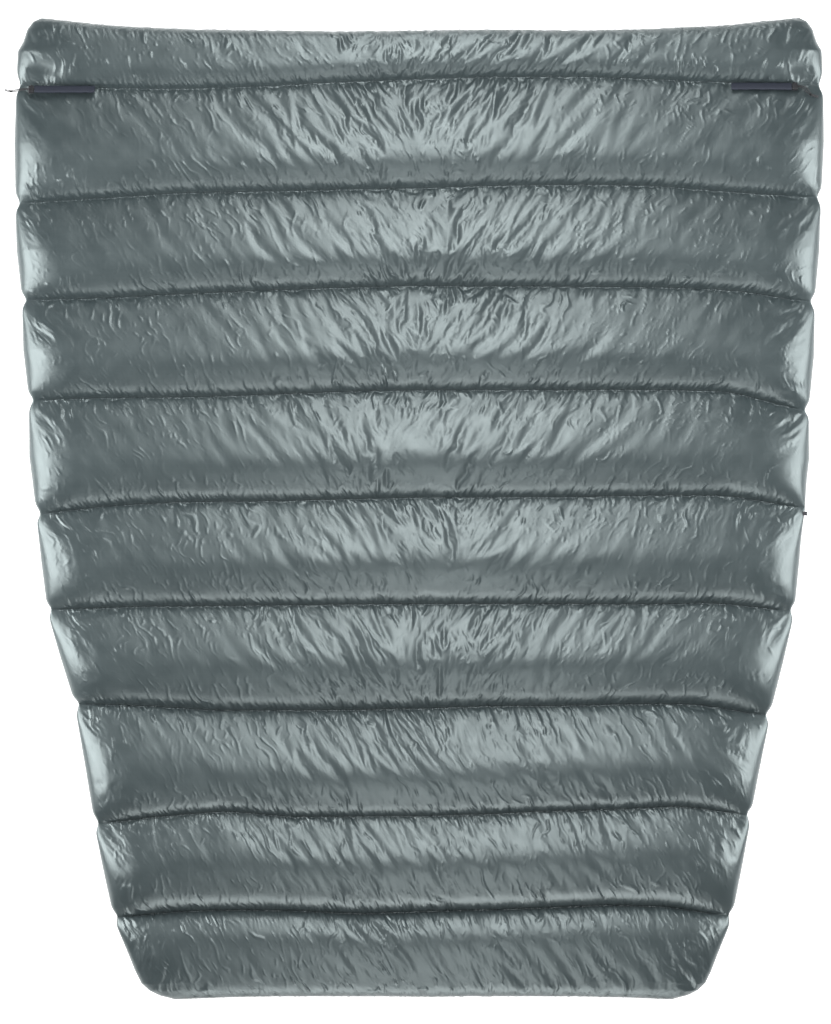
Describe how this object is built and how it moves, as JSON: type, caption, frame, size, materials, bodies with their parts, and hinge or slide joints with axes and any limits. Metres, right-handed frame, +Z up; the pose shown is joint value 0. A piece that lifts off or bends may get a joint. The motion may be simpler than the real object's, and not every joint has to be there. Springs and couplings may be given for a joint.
{
  "type": "two-person camp quilt",
  "caption": "Wide down camp quilt in grey-green ripstop, sewn across into chambers, with a foot box, a turn-down collar and a drawcord with a cord lock at each end of the collar.",
  "frame": {"origin": "on the floor, under the middle of the quilt's outline, measured without the free drawcord ends", "axes": "+Y towards the head edge, +X to the right seen from above with the head edge at the top, +Z up, away from the floor"},
  "size_m": [1.6624, 1.966, 0.0932],
  "materials": {
    "shell_fabric": "satin",
    "liner_fabric": "satin",
    "down_fill": "matte",
    "seam_thread": "matte",
    "channel_tape": "matte",
    "webbing": "matte",
    "drawcord": "matte",
    "lock_plastic": "satin",
    "spring_steel": "satin"
  },
  "bodies": {
    "collar": {"collar_shell": "shell_fabric", "collar_liner": "liner_fabric", "collar_down": "down_fill", "collar_seam_stitching": "seam_thread"},
    "chamber_1": {"chamber_1_shell": "shell_fabric", "chamber_1_liner": "liner_fabric", "chamber_1_down": "down_fill", "seam_2_stitching": "seam_thread", "channel_tape_right": "channel_tape", "cord_lock_body_right": "lock_plastic", "cord_lock_spring_right": "spring_steel", "channel_tape_left": "channel_tape", "cord_lock_body_left": "lock_plastic", "cord_lock_spring_left": "spring_steel"},
    "chamber_2": {"chamber_2_shell": "shell_fabric", "chamber_2_liner": "liner_fabric", "chamber_2_down": "down_fill", "seam_3_stitching": "seam_thread"},
    "chamber_3": {"chamber_3_shell": "shell_fabric", "chamber_3_liner": "liner_fabric", "chamber_3_down": "down_fill", "seam_4_stitching": "seam_thread"},
    "chamber_4": {"chamber_4_shell": "shell_fabric", "chamber_4_liner": "liner_fabric", "chamber_4_down": "down_fill", "seam_5_stitching": "seam_thread"},
    "chamber_5": {"chamber_5_shell": "shell_fabric", "chamber_5_liner": "liner_fabric", "chamber_5_down": "down_fill", "seam_6_stitching": "seam_thread", "edge_loop_right": "webbing"},
    "chamber_6": {"chamber_6_shell": "shell_fabric", "chamber_6_liner": "liner_fabric", "chamber_6_down": "down_fill", "seam_7_stitching": "seam_thread"},
    "chamber_7": {"chamber_7_shell": "shell_fabric", "chamber_7_liner": "liner_fabric", "chamber_7_down": "down_fill", "mouth_seam_stitching": "seam_thread"},
    "foot_box": {"chamber_8_shell": "shell_fabric", "chamber_8_liner": "liner_fabric", "chamber_8_down": "down_fill", "chamber_9_shell": "shell_fabric", "chamber_9_liner": "liner_fabric", "chamber_9_down": "down_fill", "seam_9_stitching": "seam_thread", "foot_box_under_shell": "shell_fabric", "foot_box_under_liner": "liner_fabric", "foot_box_under_down": "down_fill"},
    "lock_button_right": {"cord_lock_plunger_right": "lock_plastic"},
    "drawcord_right": {"drawcord_in_channel_right": "drawcord", "drawcord_upper_strand_right": "drawcord", "drawcord_lower_strand_right": "drawcord", "drawcord_knot_right": "drawcord"},
    "lock_button_left": {"cord_lock_plunger_left": "lock_plastic"},
    "drawcord_left": {"drawcord_in_channel_left": "drawcord", "drawcord_upper_strand_left": "drawcord", "drawcord_lower_strand_left": "drawcord", "drawcord_knot_left": "drawcord"}
  },
  "joints": [
    {"name": "fold_at_seam_4", "type": "hinge", "parent": "chamber_4", "child": "chamber_3", "pos_m": [0, 0.247, 0.022], "axis": [1, 0, 0], "range_deg": [-95, 95]},
    {"name": "fold_at_seam_3", "type": "hinge", "parent": "chamber_3", "child": "chamber_2", "pos_m": [0, 0.458, 0.022], "axis": [-1, 0, 0], "range_deg": [-95, 95]},
    {"name": "fold_at_seam_2", "type": "hinge", "parent": "chamber_2", "child": "chamber_1", "pos_m": [0, 0.662, 0.022], "axis": [1, 0, 0], "range_deg": [-95, 95]},
    {"name": "collar_turn_down", "type": "hinge", "parent": "chamber_1", "child": "collar", "pos_m": [0, 0.88, 0.022], "axis": [-1, 0, 0], "range_deg": [-40, 95]},
    {"name": "fold_at_seam_5", "type": "hinge", "parent": "chamber_4", "child": "chamber_5", "pos_m": [0, 0.032, 0.022], "axis": [-1, 0, 0], "range_deg": [-95, 95]},
    {"name": "fold_at_seam_6", "type": "hinge", "parent": "chamber_5", "child": "chamber_6", "pos_m": [0, -0.184, 0.022], "axis": [1, 0, 0], "range_deg": [-95, 95]},
    {"name": "fold_at_seam_7", "type": "hinge", "parent": "chamber_6", "child": "chamber_7", "pos_m": [0, -0.395, 0.022], "axis": [-1, 0, 0], "range_deg": [-95, 95]},
    {"name": "foot_box_fold", "type": "hinge", "parent": "chamber_7", "child": "foot_box", "pos_m": [0, -0.608, 0.05], "axis": [1, 0, 0], "range_deg": [-95, 55]},
    {"name": "drawcord_pull_right", "type": "slide", "parent": "chamber_1", "child": "drawcord_right", "axis": [1, 0, 0], "range_m": [0, 0.05]},
    {"name": "cord_lock_press_right", "type": "slide", "parent": "chamber_1", "child": "lock_button_right", "axis": [0, -0.8141, 0.5807], "range_m": [0, 0.0026], "stiffness_N_per_m": 600, "springref_m": -0.004, "deforming": ["cord_lock_spring_right"]},
    {"name": "drawcord_pull_left", "type": "slide", "parent": "chamber_1", "child": "drawcord_left", "axis": [-1, 0, 0], "range_m": [0, 0.05]},
    {"name": "cord_lock_press_left", "type": "slide", "parent": "chamber_1", "child": "lock_button_left", "axis": [0, -0.8141, 0.5807], "range_m": [0, 0.0026], "stiffness_N_per_m": 600, "springref_m": -0.004, "deforming": ["cord_lock_spring_left"]}
  ]
}
